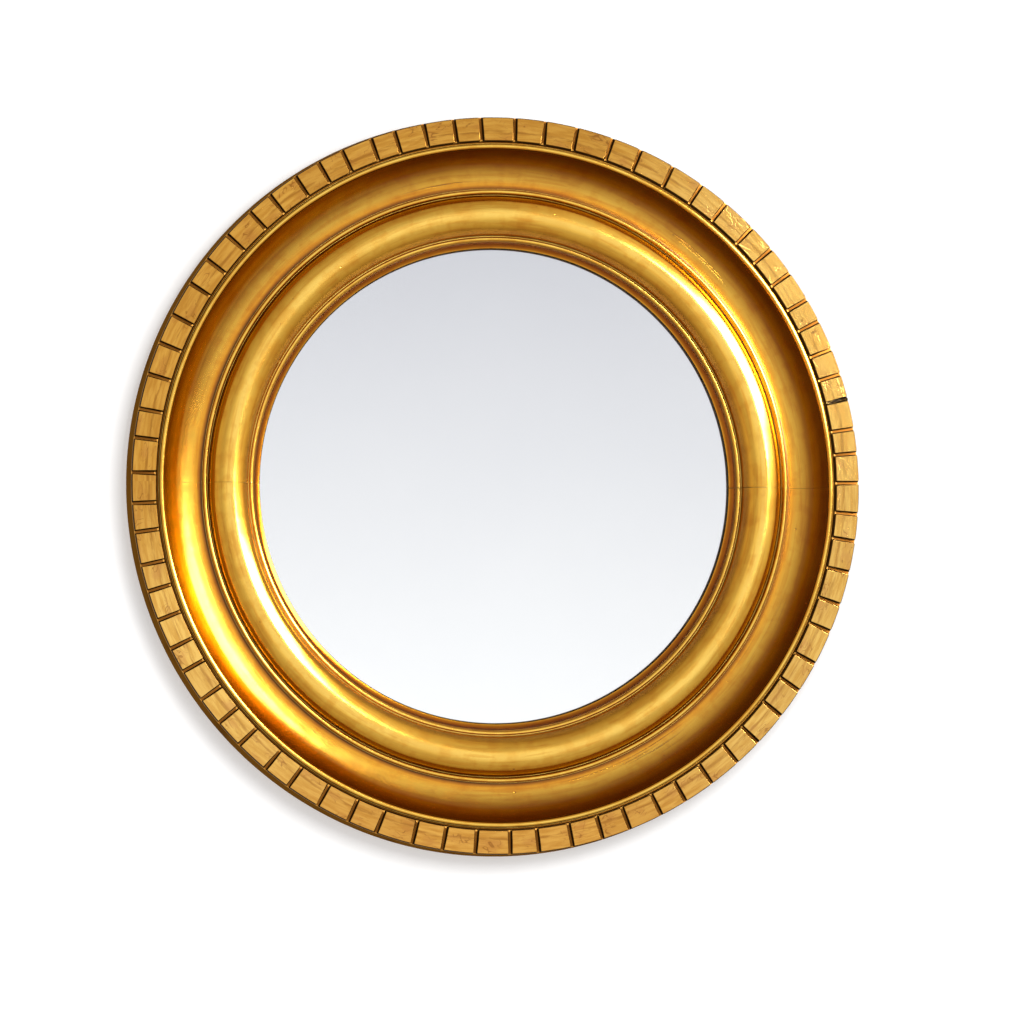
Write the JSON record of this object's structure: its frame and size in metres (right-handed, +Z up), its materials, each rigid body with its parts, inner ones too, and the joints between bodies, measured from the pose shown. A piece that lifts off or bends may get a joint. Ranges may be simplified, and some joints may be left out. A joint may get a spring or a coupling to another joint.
{
  "type": "convex mirror",
  "caption": "Round convex wall mirror in a gilt moulded frame with a rim of dentil blocks, hung by D-rings on its back.",
  "frame": {"origin": "centre of the backboard's rear face, on the wall", "axes": "+Y into the wall along the frame's turning axis, so the front faces -Y; +Z up; +X to the right seen from the front"},
  "size_m": [0.91, 0.0736, 0.91],
  "materials": {
    "gilt_wood": "burnished gold leaf over red bole, rubbed",
    "pine": "bare, planed",
    "backboard_pine": "bare, aged",
    "beech": "bare",
    "glass": "polished",
    "silvering": "bright from the front, painted behind",
    "brass": "satin"
  },
  "bodies": {
    "frame": {"backboard": "backboard_pine", "backboard_screws": "brass", "base_felloes": "pine", "base_dowels": "beech", "rim_upper": "gilt_wood", "rim_lower": "gilt_wood", "dentil_blocks": "gilt_wood", "outer_bead": "gilt_wood", "cove_upper": "gilt_wood", "cove_lower": "gilt_wood", "middle_bead": "gilt_wood", "round_upper": "gilt_wood", "round_lower": "gilt_wood", "sight_slip_upper": "gilt_wood", "sight_slip_lower": "gilt_wood", "convex_glass": "glass", "silvering": "silvering", "glass_blocks": "pine", "hanger_strap_left": "brass", "hanger_strap_right": "brass", "hanger_screws": "brass"},
    "left_ring": {"hanger_ring_left": "brass"},
    "right_ring": {"hanger_ring_right": "brass"}
  },
  "joints": [
    {"name": "left_ring_swing", "type": "hinge", "parent": "frame", "child": "left_ring", "pos_m": [-0.32479, -0.0031, 0.22742], "axis": [1, 0, 0], "range_deg": [0, 180]},
    {"name": "right_ring_swing", "type": "hinge", "parent": "frame", "child": "right_ring", "pos_m": [0.32479, -0.0031, 0.22742], "axis": [1, 0, 0], "range_deg": [0, 180]}
  ]
}
